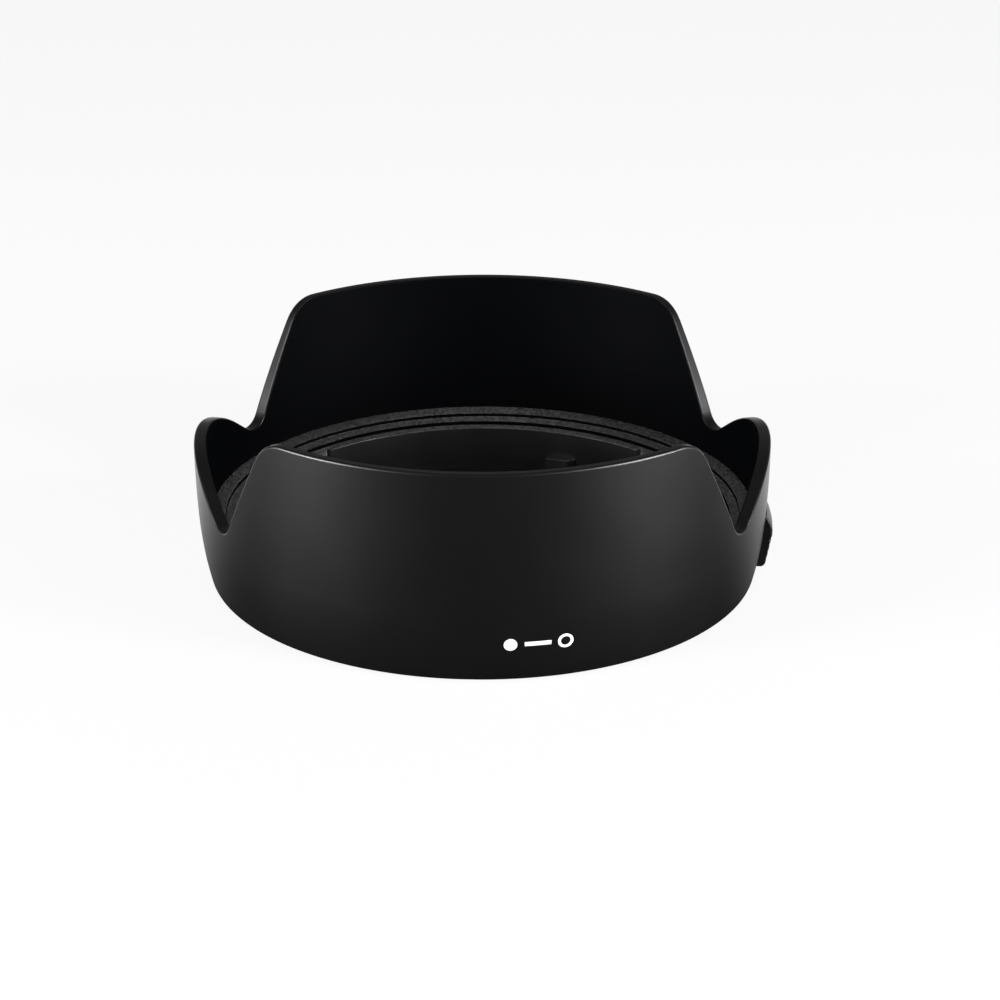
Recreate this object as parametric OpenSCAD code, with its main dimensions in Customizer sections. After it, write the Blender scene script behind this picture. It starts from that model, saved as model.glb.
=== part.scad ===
// Petal lens hood with a bayonet mount, a stepped light trap and a side release button.
// Millimetres. The origin is the centre of the rear face, and +Z points to the petals.
// The tall petals lie on -Y and +Y, the short petals on -X and +X.

/* [Hood wall] */
// Height from the rear face to the rims of the tall petals
hood_h = 27.15; // [26:0.05:28]
// Outer radius at the rear face
rear_r = 35.42; // [35.2:0.02:35.6]
// Outer radius of the upper wall
front_r = 37; // [36.8:0.05:37.2]
// Height over which the outer wall flares
flare_h = 23.9; // [20:0.1:25]
// How strongly the flare gathers near the rear face
flare_power = 4.02; // [3:0.02:5]
// Thickness of the petals
wall = 1.25; // [1.1:0.05:1.4]
// Inner radius of the skin beside the latch
skin_in_r = 34.5; // [34.4:0.05:34.6]
// Chamfer round the rear outer edge
rear_chamfer = 0.2; // [0.1:0.05:0.4]

/* [Petals] */
// Angle from the middle of a tall petal to its corner, before rounding
corner_at = 44.2; // [42:0.1:46]
// Radius of the tall petal's corners
corner_r = 5.2; // [3:0.1:6]
// Steepness of the tall petal's slanted side
fall = 58.95; // [56:0.05:62]
// Radius at the root between two petals
root_r = 3.05; // [2.5:0.05:4]
// Steepness of the short petal's side
rise = 33.6; // [30:0.1:36]
// Radius of the short petal's crown
crown_r = 25.75; // [20:0.25:28]
// Height of the short petal's crown
crown_z = 18.2; // [17.5:0.1:19]
// Angular step along the petal outline
outline_step = 0.8; // [0.5:0.1:2]

/* [Light trap and mount] */
// Radius of the smooth seat round the lens barrel
seat_r = 31.1; // [31:0.05:31.2]
// Height at which the seat begins, above the relief round the bayonet
seat_z0 = 3; // [2.8:0.1:3.2]
// Radius of the relief below the seat
relief_r = 31.5; // [31.45:0.01:31.6]
// Height at which the relief begins to taper up to the seat
relief_z = 1; // [0.8:0.1:1.2]
// Radial width of the inner ledge of the light trap
ledge_w_inner = 1; // [0.95:0.01:1.05]
// Radial width of the middle ledge
ledge_w_middle = 1.2; // [1.15:0.01:1.25]
// Radial width of the outer ledge
ledge_w_outer = 1.73; // [1.7:0.01:1.75]
// Slope of the ledges towards the axis, as a share of their width
ledge_slope = 0.22; // [0.15:0.01:0.3]
// Height of the riser between two ledges
riser = 0.47; // [0.4:0.01:0.5]
// Height of the innermost edge of the light trap
trap_z = 6.25; // [6.1:0.05:6.4]
// Thickness of the seat wall
seat_wall = 0.85; // [0.8:0.05:0.9]
// Thickness of the rear flange
flange_t = 1.0; // [0.9:0.05:1.05]
// Inner radius at the bayonet lugs
lug_r = 30.1; // [29.8:0.1:30.4]
// Height of a bayonet lug's underside
lug_z = 1.2; // [1:0.05:1.3]
// Height of a bayonet lug
lug_h = 1.4; // [1.2:0.05:1.5]
// Angular width of a bayonet lug
lug_angle = 8.4; // [6:0.2:12]
// Angle of the first bayonet lug from +X
lug_at = 69.2; // [64:0.2:74]
// Depth of the entry slots for the lugs of the lens
slot_depth = 0.6; // [0.4:0.05:0.65]
// Angular width of an entry slot
slot_angle = 17; // [12:0.5:18]
// Angle of the first entry slot from +X
slot_at = 38.5; // [36:0.5:41]

/* [Release button] */
// Angle of the button from +X
button_at = 0; // [-2:0.5:2]
// Width of the button along the wall
button_w = 9.9; // [8:0.1:10]
// How far the button's face stands out of the wall
button_proud = 1.12; // [0.9:0.02:1.3]
// Travel of the button
button_travel = 0.8; // [0.5:0.05:0.8]
// Height of the button's lower edge
button_z0 = 1.1; // [1.1:0.05:1.3]
// Height of the button's upper edge
button_z1 = 8.3; // [8:0.05:9]
// Clearance round the button
button_gap = 0.1; // [0.05:0.01:0.2]

/* [Latch] */
// Angle from the button to the lever's pivot
pivot_from_button = 17.5; // [17:0.1:18]
// Angle from the button to the latch tooth
tooth_from_button = 24.9; // [24.5:0.1:25.2]
// Radius of the circle on which the pivot lies
pivot_circle_r = 33.3; // [33.2:0.05:33.4]
// Diameter of the pivot pin
pin_d = 1.0; // [0.8:0.1:1]
// Running clearance of the lever on its pin
pin_clearance = 0.05; // [0.02:0.01:0.1]
// Radius at the tip of the tooth
tooth_tip_r = 30.25; // [30:0.05:30.5]

/* [Screws and marks] */
// Angle from +X to the first ring screw
screw_at = 60; // [55:1:64]
// Radius of the circle of ring screws
screw_circle_r = 33.5; // [33.45:0.01:33.55]
// Thickness of the white printed marks
mark_t = 0.05; // [0.04:0.01:0.1]
// Height of the row of printed marks
mark_z = 5.15; // [4:0.05:6]

/* [Hidden] */
$fn = 96;

plastic_black = [0.09, 0.09, 0.095];
trap_grey = [0.17, 0.17, 0.175];
latch_grey = [0.3, 0.3, 0.32];
steel = [0.7, 0.7, 0.72];
print_white = [0.92, 0.92, 0.92];

// Past the faces that a cut goes through
over = 1;
// Outer radius of the seat wall and of the mount ring's flange
seat_out_r = seat_r + seat_wall;
flange_r = skin_in_r - 0.05;
// Radii at which the ledges of the light trap begin, from the axis outwards
ledge_r = [seat_r, seat_r + ledge_w_inner, seat_r + ledge_w_inner + ledge_w_middle,
           seat_r + ledge_w_inner + ledge_w_middle + ledge_w_outer];
// Heights of the low and high edge of each ledge
ledge_low = [for (i = [0:2]) trap_z + i * riser + (ledge_r[i] - seat_r) * ledge_slope];
ledge_high = [for (i = [0:2]) ledge_low[i] + (ledge_r[i + 1] - ledge_r[i]) * ledge_slope];
// The skin's inner shelf and the mount ring part here, with a fitting gap
seam_gap = 0.05;
web_under_z = 5.2;
ring_lip_under_z = 4.6;

// Radius of the outer wall at height z
function wall_r(z) =
    z >= flare_h ? front_r : front_r - (front_r - rear_r) * pow(1 - z / flare_h, flare_power);

// Millimetres of wall for one degree, at the petals
arc_mm = front_r * PI / 180;
// Along the unrolled wall: the corner, the end of the crown, and where their two flanks meet
corner_s = corner_at * arc_mm;
crown_end_s = 90 * arc_mm - crown_r * sin(rise);
crown_end_z = crown_z - crown_r * (1 - cos(rise));
meet_s = (hood_h - crown_end_z + corner_s * tan(fall) + crown_end_s * tan(rise))
       / (tan(fall) + tan(rise));
meet_z = crown_end_z - (crown_end_s - meet_s) * tan(rise);
corner_tangent = corner_r * tan(fall / 2);
root_tangent = root_r * tan((fall + rise) / 2);
corner_from_s = corner_s - corner_tangent;
corner_to_s = corner_s + corner_tangent * cos(fall);
root_from_s = meet_s - root_tangent * cos(fall);
root_to_s = meet_s + root_tangent * cos(rise);
root_s = root_to_s - root_r * sin(rise);
root_z = meet_z + root_tangent * sin(rise) + root_r * cos(rise);

// Height of the petal edge, at distance s along the wall from the middle of a tall petal
function edge_z(s) =
    s < corner_from_s ? hood_h :
    s < corner_to_s ? hood_h - corner_r + sqrt(pow(corner_r, 2) - pow(s - corner_from_s, 2)) :
    s < root_from_s ? hood_h - (s - corner_s) * tan(fall) :
    s < root_to_s ? root_z - sqrt(pow(root_r, 2) - pow(s - root_s, 2)) :
    s < crown_end_s ? crown_end_z - (crown_end_s - s) * tan(rise) :
    crown_z - crown_r + sqrt(pow(crown_r, 2) - pow(90 * arc_mm - s, 2));

// The stretch of wall, in degrees from a tall petal's middle, that the cut between two covers
cut_from = corner_from_s / arc_mm;
cut_steps = round((180 - 2 * cut_from) / outline_step);

// Everything above the petal edge on the +X side, with faces that point to the axis
module petal_cut() {
    in_r = 33;
    out_r = 39;
    top = hood_h + 3;
    angles = [for (i = [0:cut_steps]) cut_from + (180 - 2 * cut_from) * i / cut_steps];
    points = [for (a = angles)
        let (z = edge_z(min(a, 180 - a) * arc_mm), d = [sin(a), -cos(a)])
        each [[d.x * in_r, d.y * in_r, z], [d.x * out_r, d.y * out_r, z],
              [d.x * out_r, d.y * out_r, top], [d.x * in_r, d.y * in_r, top]]];
    last = 4 * cut_steps;
    sides = [for (i = [0:cut_steps - 1], k = [0:3])
        let (a = 4 * i + k, b = 4 * i + (k + 1) % 4)
        each [[a, b, b + 4], [a, b + 4, a + 4]]];
    ends = [[0, 2, 1], [0, 3, 2], [last, last + 1, last + 2], [last, last + 2, last + 3]];
    polyhedron(points, concat(sides, ends), convexity = 6);
}

// A ring sector between two radii and two heights, centred on angle at
module sector(r0, r1, z0, z1, at, width) {
    translate([0, 0, z0])
        rotate_extrude(angle = width, start = at - width / 2)
            translate([r0, 0]) square([r1 - r0, z1 - z0]);
}

// A box in the frame of the button: x outwards from the axis, y along the wall
module at_button(from_button = 0) {
    rotate(button_at + from_button) children();
}

module x_box(x0, x1, half_w, z0, z1) {
    translate([x0, -half_w, z0]) cube([x1 - x0, 2 * half_w, z1 - z0]);
}

// Repeats its children at the four corners of the mount, from angle first, mirrored in X and Y
module four_mirrored(first) {
    for (a = [first, 180 - first, 180 + first, -first]) rotate(a) children();
}

// Button layout: x of the lip, and radii of the finger pad's back and of the pocket under it
button_lip_x0 = 33.2;
button_lip_x1 = 33.8;
button_lip_half_w = 5.95;
pad_back_r = 36.27;
pocket_r = pad_back_r - button_travel - 0.02;
shank_back_r = 33.7;
shank_top_z = 5.0;
spring_z = 3.05;
spring_hole_r = 1.1;
spring_hole_x = 36.0;

// Screws
screw_r = 0.45;
screw_head_r = 0.8;
boss_r = 1.1;
boss_hole_z = 4.7;

module petal_shell() {
    wall_steps = 8;
    outer = [for (i = [0:wall_steps])
        let (z = rear_chamfer + (flare_h - rear_chamfer) * pow(i / wall_steps, 1.6)) [wall_r(z), z]];
    shelf_r = ledge_r[1] + seam_gap;
    profile = concat(
        [[skin_in_r, 0], [rear_r - rear_chamfer, 0]],
        outer,
        [[front_r, hood_h], [front_r - wall, hood_h],
         [ledge_r[3], ledge_high[2]], [ledge_r[2], ledge_low[2]],
         [ledge_r[2], ledge_high[1]], [shelf_r, ledge_low[1]],
         [shelf_r, web_under_z], [skin_in_r, web_under_z]]);
    color(plastic_black) difference() {
        union() {
            rotate_extrude() polygon(profile);
            four_mirrored(screw_at) translate([screw_circle_r, 0, flange_t + 0.05])
                cylinder(r = boss_r, h = web_under_z - flange_t + 0.2);
        }
        // Keeps the screw bosses clear of the mount ring
        cylinder(r = ledge_r[1] + seam_gap - 0.01, h = web_under_z + 0.3);
        petal_cut();
        mirror([1, 0, 0]) petal_cut();
        at_button() {
            x_box(button_lip_x1 - over, 40, button_w / 2 + button_gap,
                  button_z0 - button_gap, shank_top_z + button_gap);
            difference() {
                x_box(pocket_r - 3, 40, button_w / 2 + button_gap,
                      shank_top_z, button_z1 + button_gap);
                cylinder(r = pocket_r, h = hood_h);
            }
        }
        at_button(pivot_from_button) translate([pivot_circle_r, 0, web_under_z - over])
            cylinder(d = pin_d + 0.02, h = over + 0.4);
        four_mirrored(screw_at) translate([screw_circle_r, 0, 0])
            cylinder(r = screw_r + 0.01, h = boss_hole_z);
    }
}

module mount_ring() {
    lip_r = ledge_r[1];
    profile = [
        [relief_r, 0], [flange_r, 0], [flange_r, flange_t], [seat_out_r, flange_t],
        [seat_out_r, ring_lip_under_z], [lip_r, ring_lip_under_z + 0.3],
        [lip_r, ledge_high[0]], [seat_r, trap_z], [seat_r, seat_z0], [relief_r, relief_z]];
    color(trap_grey) difference() {
        union() {
            rotate_extrude() polygon(profile);
            for (i = [0:3])
                sector(lug_r, relief_r + 0.2, lug_z, lug_z + lug_h, lug_at + 90 * i, lug_angle);
        }
        for (i = [slot_at, 180 - slot_at, 180 + slot_at, -slot_at])
            sector(seat_r - 0.5, seat_r + slot_depth, -over, trap_z + over, i, slot_angle);
        // Window for the latch tooth
        sector(seat_r - over, seat_out_r + 0.2, flange_t, 2.5,
               button_at + tooth_from_button, 6.6);
        at_button(pivot_from_button) translate([pivot_circle_r, 0, -over])
            cylinder(d = pin_d + 0.02, h = flange_t + 2 * over);
        four_mirrored(screw_at) translate([screw_circle_r, 0, 0]) {
            translate([0, 0, -over]) cylinder(r = screw_r + 0.08, h = flange_t + 2 * over);
            translate([0, 0, -over]) cylinder(r = screw_head_r + 0.05, h = over + 0.55);
        }
    }
}

// Radius of the button's face at height z, proud of the wall by a share of button_proud
function button_face_r(z, share = 1) = wall_r(z) + share * button_proud;

module release_button() {
    half_w = button_w / 2;
    // Height and share of the full stand-out, up the face: a rounded foot and a long ramp at the top
    face = [[button_z0, 0.65], [1.25, 0.88], [1.55, 1], [3, 1], [4.4, 1.02], [5.6, 1.09],
            [6.4, 0.96], [7, 0.76], [button_z1, 0.1]];
    groove_d = 0.2;
    side = concat([[shank_back_r, button_z0]],
                  [for (p = face) [button_face_r(p[0], p[1]), p[0]]],
                  [[pad_back_r, button_z1], [pad_back_r, shank_top_z],
                   [shank_back_r, shank_top_z]]);
    color(plastic_black) at_button() difference() {
        union() {
            intersection() {
                rotate_extrude(angle = 24, start = -12) polygon(side);
                x_box(30, 40, half_w, 0, 12);
            }
            x_box(button_lip_x0, button_lip_x1, button_lip_half_w,
                  button_z0 + 0.1, shank_top_z - 0.05);
        }
        translate([button_lip_x0 - over, 0, spring_z]) rotate([0, 90, 0])
            cylinder(r = spring_hole_r, h = spring_hole_x - button_lip_x0 + over);
        // Grip grooves
        for (z = [2.1:0.95:6]) intersection() {
            sector(button_face_r(z) - groove_d, 40, z, z + 0.3, 0, 24);
            x_box(30, 40, half_w - 1, 0, 12);
        }
    }
}

module button_spring() {
    outer_r = 1.0;
    inner_r = 0.7;
    color(steel) at_button() translate([seat_out_r + 0.02, 0, spring_z]) rotate([0, 90, 0])
        difference() {
            cylinder(r = outer_r, h = spring_hole_x - seat_out_r - 0.04);
            translate([0, 0, -over]) cylinder(r = inner_r, h = 10);
        }
}

module latch_lever() {
    arm_r0 = 32.95;
    arm_r1 = 33.45;
    arm_z0 = flange_t + 0.2;
    arm_z1 = 3.6;
    from = 8.9;
    to = 26.8;
    boss_z0 = flange_t + 0.1;
    color(latch_grey) difference() {
        union() {
            sector(arm_r0, arm_r1, arm_z0, arm_z1, button_at + (from + to) / 2, to - from);
            // The nub that the button's lip presses
            at_button() translate([32.85, 5.15, arm_z0]) cube([0.3, 0.65, arm_z1 - arm_z0]);
            sector(tooth_tip_r, arm_r0 + 0.2, arm_z0, arm_z0 + 1.1,
                   button_at + tooth_from_button, 3.8);
            at_button(pivot_from_button) translate([pivot_circle_r, 0, boss_z0])
                cylinder(r = 0.95, h = web_under_z - boss_z0 - 0.1);
        }
        at_button(pivot_from_button) translate([pivot_circle_r, 0, 0])
            cylinder(d = pin_d + 2 * pin_clearance, h = 10);
    }
}

module lever_pivot_pin() {
    color(steel) at_button(pivot_from_button) translate([pivot_circle_r, 0, 0.1])
        cylinder(d = pin_d, h = web_under_z + 0.35 - 0.1);
}

module lever_spring() {
    thickness = 0.12;
    // Distance from the axis and angle from the button, along the bent strip
    bends = [[34.42, 20.4], [34.42, 21.6], [33.62, 25.2], [33.66, 26.0]];
    inner = [for (p = bends) (p[0] - thickness) * [cos(p[1]), sin(p[1])]];
    outer = [for (p = bends) p[0] * [cos(p[1]), sin(p[1])]];
    last = len(bends) - 1;
    color(steel) at_button() translate([0, 0, 1.5]) linear_extrude(1.9)
        polygon(concat(inner, [for (i = [0:last]) outer[last - i]]));
}

module ring_screws() {
    head_h = 0.45;
    color(steel) four_mirrored(screw_at) translate([screw_circle_r, 0, 0]) difference() {
        union() {
            translate([0, 0, 0.08]) cylinder(r = screw_head_r, h = head_h);
            translate([0, 0, 0.08]) cylinder(r = screw_r, h = 4.2);
        }
        // Cross recess
        for (a = [0, 90]) rotate(a) translate([-0.55, -0.09, 0]) cube([1.1, 0.18, 0.3]);
    }
}

// A film on the outer wall, from which the printed marks are cut
module wall_film() {
    z0 = mark_z - 1.2;
    z1 = mark_z + 1.2;
    steps = 4;
    inner = [for (i = [0:steps]) let (z = z0 + (z1 - z0) * i / steps) [wall_r(z) + 0.01, z]];
    outer = [for (i = [steps:-1:0]) inner[i] + [mark_t, 0]];
    rotate_extrude(angle = 20, start = -90) polygon(concat(inner, outer));
}

module index_marks() {
    module on_wall(a) {
        rotate(a) translate([0, -30, mark_z]) rotate([90, 0, 0]) children();
    }
    color(print_white) intersection() {
        wall_film();
        union() {
            on_wall(5.5) cylinder(r = 0.8, h = 10);
            on_wall(10.7) translate([-1.6, -0.28, 0]) cube([3.2, 0.56, 10]);
            on_wall(16) difference() {
                cylinder(r = 0.95, h = 10);
                cylinder(r = 0.6, h = 10);
            }
        }
    }
}

petal_shell();
mount_ring();
release_button();
button_spring();
latch_lever();
lever_pivot_pin();
lever_spring();
ring_screws();
index_marks();
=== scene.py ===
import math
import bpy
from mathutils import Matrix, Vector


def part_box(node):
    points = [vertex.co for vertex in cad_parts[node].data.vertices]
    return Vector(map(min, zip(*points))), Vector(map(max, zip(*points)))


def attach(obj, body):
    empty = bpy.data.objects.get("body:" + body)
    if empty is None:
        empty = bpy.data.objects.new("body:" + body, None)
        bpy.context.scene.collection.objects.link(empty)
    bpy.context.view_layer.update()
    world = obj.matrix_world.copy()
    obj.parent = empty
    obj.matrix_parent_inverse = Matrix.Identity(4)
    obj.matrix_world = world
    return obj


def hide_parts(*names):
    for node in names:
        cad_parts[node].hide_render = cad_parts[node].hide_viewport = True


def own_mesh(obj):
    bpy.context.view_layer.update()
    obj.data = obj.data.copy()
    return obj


bl_info = {
    "name": "Petal Lens Hood",
    "version": (1, 0, 0),
    "blender": (4, 5, 0),
    "location": "3D View > Sidebar > Lens Hood",
    "description": "Builds a bayonet lens hood with petals, a light trap and a release button",
    "category": "Add Mesh",
}

import bmesh
import bpy
from mathutils import Matrix, Vector

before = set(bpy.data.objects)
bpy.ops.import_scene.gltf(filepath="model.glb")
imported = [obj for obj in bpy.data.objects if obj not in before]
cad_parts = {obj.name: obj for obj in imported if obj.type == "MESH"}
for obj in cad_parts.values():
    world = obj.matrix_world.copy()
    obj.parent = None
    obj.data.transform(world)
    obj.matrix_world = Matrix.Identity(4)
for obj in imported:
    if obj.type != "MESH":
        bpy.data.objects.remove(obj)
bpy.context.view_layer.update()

MM = 0.001
SHELL_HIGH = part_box("petal_shell")[1]
BUTTON_LOW, BUTTON_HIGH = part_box("release_button")
COIL_LOW, COIL_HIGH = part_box("button_spring")
STRIP_LOW, STRIP_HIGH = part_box("lever_spring")
MARKS_LOW, MARKS_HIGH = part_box("index_marks")
SCREWS_LOW, SCREWS_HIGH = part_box("ring_screws")


# ---- settings


def length(name, description, default):
    return bpy.props.FloatProperty(
        name=name, description=description, default=default,
        unit="LENGTH", subtype="DISTANCE", precision=5)


def degrees(name, description, default):
    return bpy.props.FloatProperty(
        name=name, description=description, default=math.radians(default),
        unit="ROTATION", subtype="ANGLE")


def colour(name, description, default):
    return bpy.props.FloatVectorProperty(
        name=name, description=description, default=default,
        size=3, min=0, max=1, subtype="COLOR")


class WallSettings(bpy.types.PropertyGroup):
    height: length("Height", "Height of the tall petals", SHELL_HIGH.z)
    front_radius: length("Front radius", "Outer radius of the upper wall", SHELL_HIGH.y)
    rear_radius: length("Rear radius", "Outer radius at the rear face", 35.42 * MM)
    flare_height: length("Flare height", "Height over which the wall flares", 23.9 * MM)
    flare_power: bpy.props.FloatProperty(
        name="Flare power", description="How strongly the flare gathers at the rear", default=4.02)
    thickness: length("Thickness", "Thickness of the petals at their rims", 1.25 * MM)
    rim_round: length("Rim rounding", "Width of the rounding on the rims", 0.32 * MM)
    skin_inner_radius: length("Skin inner radius", "Inner radius beside the latch", 34.5 * MM)


class PetalSettings(bpy.types.PropertyGroup):
    corner_angle: degrees("Corner angle", "Middle of a tall petal to its corner", 44.2)
    corner_radius: length("Corner radius", "Radius of the tall petal's corners", 5.2 * MM)
    fall: degrees("Fall", "Steepness of the tall petal's side", 58.95)
    root_radius: length("Root radius", "Radius between two petals", 3.05 * MM)
    rise: degrees("Rise", "Steepness of the short petal's side", 33.6)
    crown_radius: length("Crown radius", "Radius of the short petal's crown", 25.75 * MM)
    crown_height: length("Crown height", "Height of the short petal's crown", 18.2 * MM)


class RingSettings(bpy.types.PropertyGroup):
    seat_radius: length("Seat radius", "Radius of the smooth seat", 31.1 * MM)
    relief_radius: length("Relief radius", "Radius of the relief below the seat", 31.5 * MM)
    seat_bottom: length("Seat bottom", "Height at which the seat begins", 3 * MM)
    relief_height: length("Relief height", "Height at which the relief tapers to the seat", 1 * MM)
    wall_radius: length("Wall radius", "Outer radius of the seat wall", 31.95 * MM)
    ledge_widths: bpy.props.FloatVectorProperty(
        name="Ledge widths", description="Radial widths of the ledges, from the axis outwards",
        size=3, unit="LENGTH", default=(1.0 * MM, 1.2 * MM, 1.73 * MM))
    ledge_slope: bpy.props.FloatProperty(
        name="Ledge slope", description="Rise of a ledge as a share of its width", default=0.22)
    riser: length("Riser", "Height of the riser between two ledges", 0.47 * MM)
    trap_height: length("Trap height", "Height of the trap's inner edge", 6.25 * MM)
    shelf_under: length("Shelf underside", "Underside of the two upper ledges", 5.2 * MM)
    flange_thickness: length("Flange thickness", "Thickness of the rear flange", 1.0 * MM)
    flange_radius: length("Flange radius", "Outer radius of the rear flange", 34.45 * MM)
    lug_radius: length("Lug radius", "Inner radius at the bayonet lugs", 30.1 * MM)
    lug_bottom: length("Lug bottom", "Height of a lug's underside", 1.2 * MM)
    lug_height: length("Lug height", "Height of a bayonet lug", 1.4 * MM)
    lug_angle: degrees("Lug angle", "Angle of the first lug from +X", 69.2)
    lug_width: degrees("Lug width", "Angular width of a lug", 8.4)
    slot_angle: degrees("Slot angle", "Angle of the first entry slot from +X", 38.5)
    slot_width: degrees("Slot width", "Angular width of an entry slot", 17)
    slot_depth: length("Slot depth", "Depth of an entry slot", 0.6 * MM)
    tooth_angle: degrees("Tooth angle", "Angle of the latch tooth from +X", 24.9)
    screw_angle: degrees("Screw angle", "Angle of the first ring screw from +X", 60)
    screw_circle: length("Screw circle", "Radius of the circle of screws", 33.5 * MM)


class ButtonSettings(bpy.types.PropertyGroup):
    half_width: length("Half width", "Half the width of the finger pad", 4.95 * MM)
    bottom: length("Bottom", "Height of the lower edge", BUTTON_LOW.z)
    top: length("Top", "Height of the upper edge", BUTTON_HIGH.z)
    proud: length("Stand-out", "How far the face stands out of the wall", 1.11 * MM)
    gap: length("Gap", "Clearance round the button", 0.1 * MM)
    edge_round: length("Edge rounding", "Rounding of the button's edges", 0.2 * MM)


class FinishSettings(bpy.types.PropertyGroup):
    shell: colour("Shell", "Outside of the petals", (0.0018, 0.0018, 0.002))
    inside: colour("Inside", "Inside of the petals", (0.0006, 0.0007, 0.001))
    trap: colour("Light trap", "Granular ledges", (0.003, 0.003, 0.0032))
    ring: colour("Mount ring", "Smooth seat and flange", (0.004, 0.004, 0.0043))
    button: colour("Button", "Release button", (0.0015, 0.0015, 0.0018))
    latch: colour("Latch", "Latch lever", (0.03, 0.03, 0.031))
    steel: colour("Steel", "Springs and pin", (0.55, 0.55, 0.56))
    screws: colour("Screws", "Black oxide screws", (0.05, 0.05, 0.052))
    print_white: colour("Print", "White printed marks", (0.8, 0.8, 0.8))


class StageSettings(bpy.types.PropertyGroup):
    camera_place: bpy.props.FloatVectorProperty(
        name="Camera", description="Place of the camera", size=3, subtype="XYZ", unit="LENGTH",
        default=(2.2507 * MM, -320.7217 * MM, 144.0929 * MM))
    camera_down: degrees("Look down", "Angle of the camera below the horizon", 22.9313)
    focal_length: bpy.props.FloatProperty(
        name="Focal length", description="Focal length in millimetres", default=96.3354)
    floor: colour("Floor", "Pale floor", (0.86, 0.86, 0.86))


def settings():
    return bpy.context.scene.lens_hood


def section(kind, name, description):
    return bpy.props.PointerProperty(type=kind, name=name, description=description)


class LensHoodSettings(bpy.types.PropertyGroup):
    wall: section(WallSettings, "Wall", "Wall sizes")
    petals: section(PetalSettings, "Petals", "Petal outline")
    ring: section(RingSettings, "Ring", "Mount ring sizes")
    button: section(ButtonSettings, "Button", "Button sizes")
    finish: section(FinishSettings, "Finish", "Colours")
    stage: section(StageSettings, "Stage", "Camera and floor")


# ---- geometry helpers


def wall_radius(z):
    """Outer radius of the hood at height z."""
    w = settings().wall
    if z >= w.flare_height:
        return w.front_radius
    share = (1 - z / w.flare_height) ** w.flare_power
    return w.front_radius - (w.front_radius - w.rear_radius) * share


def inner_radius(z):
    """Inner radius of the wall: straight beside the latch, then opening out to the rims."""
    w, edge, low, high = settings().wall, *ledge_steps()
    shelf, rim = edge[3], w.front_radius - w.thickness
    if z >= high[2]:
        return shelf + (rim - shelf) * (z - high[2]) / (w.height - high[2])
    under = settings().ring.shelf_under
    return w.skin_inner_radius + (shelf - w.skin_inner_radius) * max(
        0.0, (z - under) / (high[2] - under))


def ledge_steps():
    """Radii of the light trap's edges, and the low and high edge of each ledge."""
    r = settings().ring
    edge = [r.seat_radius]
    for width in r.ledge_widths:
        edge.append(edge[-1] + width)
    low = [r.trap_height + i * r.riser + (edge[i] - edge[0]) * r.ledge_slope for i in range(3)]
    high = [low[i] + (edge[i + 1] - edge[i]) * r.ledge_slope for i in range(3)]
    return edge, low, high


class PetalOutline:
    """The petal edge unrolled along the wall: straight flanks joined by arcs."""

    def __init__(self):
        w, p = settings().wall, settings().petals
        self.height = w.height
        self.per_degree = w.front_radius * math.pi / 180
        self.fall, self.rise = math.tan(p.fall), math.tan(p.rise)
        self.corner_s = math.degrees(p.corner_angle) * self.per_degree
        self.quarter_s = 90 * self.per_degree
        self.crown_r, self.crown_z = p.crown_radius, p.crown_height
        self.crown_s = self.quarter_s - self.crown_r * math.sin(p.rise)
        self.crown_end_z = self.crown_z - self.crown_r * (1 - math.cos(p.rise))
        drop = self.height - self.crown_end_z
        reach = drop + self.corner_s * self.fall + self.crown_s * self.rise
        meet = reach / (self.fall + self.rise)
        meet_z = self.crown_end_z - (self.crown_s - meet) * self.rise
        self.corner_r, self.root_r = p.corner_radius, p.root_radius
        corner_tangent = self.corner_r * math.tan(p.fall / 2)
        root_tangent = self.root_r * math.tan((p.fall + p.rise) / 2)
        self.corner_from = self.corner_s - corner_tangent
        self.corner_to = self.corner_s + corner_tangent * math.cos(p.fall)
        self.root_from = meet - root_tangent * math.cos(p.fall)
        self.root_to = meet + root_tangent * math.cos(p.rise)
        self.root_s = self.root_to - self.root_r * math.sin(p.rise)
        self.root_z = meet_z + root_tangent * math.sin(p.rise) + self.root_r * math.cos(p.rise)

    def edge(self, s):
        """Height of the petal edge at distance s from the middle of a tall petal."""
        if s <= self.corner_from:
            return self.height
        if s < self.corner_to:
            return self.height - self.corner_r + math.sqrt(
                self.corner_r ** 2 - (s - self.corner_from) ** 2)
        if s < self.root_from:
            return self.height - (s - self.corner_s) * self.fall
        if s < self.root_to:
            return self.root_z - math.sqrt(self.root_r ** 2 - (s - self.root_s) ** 2)
        if s < self.crown_s:
            return self.crown_end_z - (self.crown_s - s) * self.rise
        return self.crown_z - self.crown_r + math.sqrt(
            max(0.0, self.crown_r ** 2 - (self.quarter_s - s) ** 2))

    def stations(self):
        """Angles in degrees round the whole hood, from -Y, close together where the edge turns."""
        knots = [0, self.corner_from, self.corner_to, self.root_from,
                 self.root_to, self.crown_s, self.quarter_s]
        counts = [18, 8, 10, 12, 8, 10]
        quarter = []
        for start, end, count in zip(knots, knots[1:], counts):
            quarter += [start + (end - start) * i / count for i in range(count)]
        quarter = [s / self.per_degree for s in quarter]
        half = quarter + [90.0] + [180 - a for a in reversed(quarter[1:])]
        return half + [180 + a for a in half]


def new_piece(name, points, faces, edges=()):
    mesh = bpy.data.meshes.new(name)
    mesh.from_pydata([tuple(p) for p in points], list(edges), faces)
    mesh.update()
    piece = bpy.data.objects.new(name, mesh)
    bpy.context.scene.collection.objects.link(piece)
    mesh.shade_smooth()
    return piece


def add_modifier(piece, kind, **values):
    modifier = piece.modifiers.new(kind.title(), kind)
    for key, value in values.items():
        setattr(modifier, key, value)
    return modifier


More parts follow.
